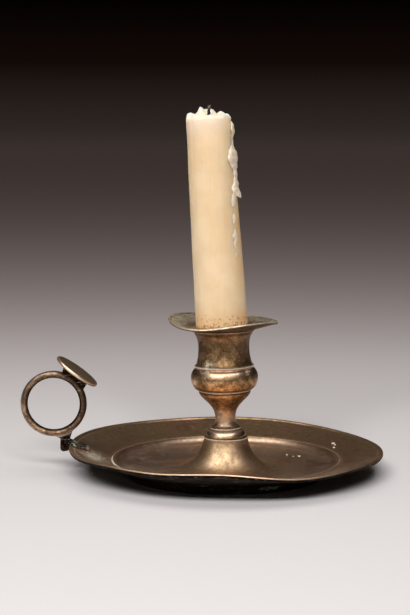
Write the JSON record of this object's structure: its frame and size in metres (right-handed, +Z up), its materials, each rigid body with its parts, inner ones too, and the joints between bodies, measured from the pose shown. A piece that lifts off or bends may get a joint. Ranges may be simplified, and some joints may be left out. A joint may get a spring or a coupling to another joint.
{
  "type": "hand candlestick",
  "caption": "Brass chamberstick with a dished round pan, a turned stem and cup, a finger ring with a thumb rest, a lift-out nozzle with a drip plate, and a part-burnt candle.",
  "frame": {"origin": "on the table, under the middle of the ring that the pan stands on", "axes": "+Z up, the finger ring lies towards -X, +Y is the side away from the picture's camera"},
  "size_m": [0.1662, 0.144, 0.1682],
  "materials": {
    "pan_brass": "aged cast brass with brown patina, soft satin shine",
    "stem_brass": "aged turned brass, bright where hands rub it",
    "plate_brass": "aged spun brass with an olive patina",
    "ring_brass": "aged cast brass, worn on the outside",
    "thumb_brass": "aged cast brass, bright edge",
    "iron": "dark oxidised wrought iron",
    "candle_wax": "ivory tallow wax, translucent and satin",
    "wick": "charred braided cotton"
  },
  "bodies": {
    "base": {"drip_pan": "pan_brass", "foot_collar": "stem_brass", "stem": "stem_brass", "candle_cup": "stem_brass", "clamp_rod": "iron", "clamp_washer": "iron", "clamp_nut": "iron", "finger_ring": "ring_brass", "handle_rivet": "ring_brass", "thumb_lug": "ring_brass", "thumb_rest": "thumb_brass"},
    "nozzle": {"nozzle_sleeve": "plate_brass", "drip_plate": "plate_brass"},
    "candle": {"candle": "candle_wax", "wick": "wick", "wax_runs": "candle_wax"}
  },
  "joints": [
    {"name": "nozzle_lift", "type": "slide", "parent": "base", "child": "nozzle", "axis": [-0.0244, 0, 0.9997], "range_m": [0, 0.03]},
    {"name": "candle_pull", "type": "slide", "parent": "nozzle", "child": "candle", "axis": [-0.0244, 0, 0.9997], "range_m": [0, 0.03]}
  ]
}
